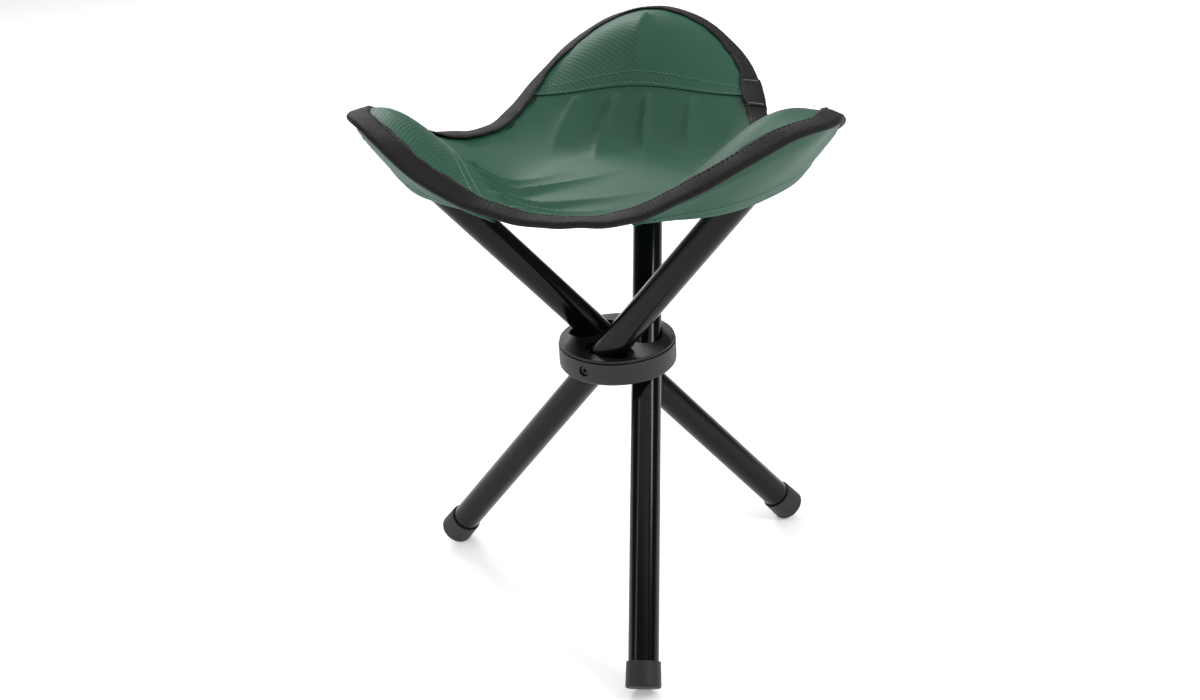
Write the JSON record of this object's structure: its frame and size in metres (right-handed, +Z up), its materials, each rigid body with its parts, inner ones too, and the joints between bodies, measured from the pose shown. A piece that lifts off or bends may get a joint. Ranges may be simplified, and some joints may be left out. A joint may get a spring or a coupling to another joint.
{
  "type": "folding tripod stool",
  "caption": "Folding stool with crossed tubular legs pinned in a round hub and a fabric sling seat bound with tape.",
  "frame": {"origin": "on the floor, under the middle of the hub, with the stool standing open", "axes": "+Z up along the hub's axis; +Y towards the seat's back corner c, corner a at 210 degrees and corner b at 330 degrees from +X"},
  "size_m": [0.3424, 0.3478, 0.4129],
  "materials": {
    "leg_paint": "gloss black powder coat on steel tube",
    "hub_plastic": "satin moulded black plastic",
    "screw_steel": "blackened steel socket screw",
    "foot_rubber": "satin black rubber",
    "plug_plastic": "moulded black plastic",
    "canvas": "green woven polyester oxford cloth",
    "webbing": "black ribbed polyester tape"
  },
  "bodies": {
    "hub": {"hub_body": "hub_plastic", "hub_cover": "hub_plastic", "pivot_screw_a": "screw_steel", "pivot_screw_b": "screw_steel", "pivot_screw_c": "screw_steel", "seat_panel": "canvas", "corner_panel_a": "canvas", "corner_panel_b": "canvas", "corner_panel_c": "canvas", "edge_binding": "webbing"},
    "leg_a": {"leg_tube_a": "leg_paint", "foot_cap_a": "foot_rubber", "tube_plug_a": "plug_plastic", "corner_pocket_a": "canvas"},
    "leg_b": {"leg_tube_b": "leg_paint", "foot_cap_b": "foot_rubber", "tube_plug_b": "plug_plastic", "corner_pocket_b": "canvas"},
    "leg_c": {"leg_tube_c": "leg_paint", "foot_cap_c": "foot_rubber", "tube_plug_c": "plug_plastic", "corner_pocket_c": "canvas"}
  },
  "joints": [
    {"name": "leg_a_fold", "type": "hinge", "parent": "hub", "child": "leg_a", "pos_m": [-0.01313, 0.01703, 0.19909], "axis": [-0.6105, 0.792, 0], "range_deg": [0, 39.4], "deforming": ["seat_panel", "corner_panel_a", "edge_binding", "corner_pocket_a"]},
    {"name": "leg_b_fold", "type": "hinge", "parent": "hub", "child": "leg_b", "pos_m": [-0.00818, -0.01988, 0.19909], "axis": [-0.3807, -0.9247, 0], "range_deg": [0, 39.4], "deforming": ["seat_panel", "corner_panel_b", "edge_binding", "corner_pocket_b"]},
    {"name": "leg_c_fold", "type": "hinge", "parent": "hub", "child": "leg_c", "pos_m": [0.02131, 0.00285, 0.19909], "axis": [0.9912, 0.1327, 0], "range_deg": [0, 39.4], "deforming": ["seat_panel", "corner_panel_c", "edge_binding", "corner_pocket_c"]}
  ]
}
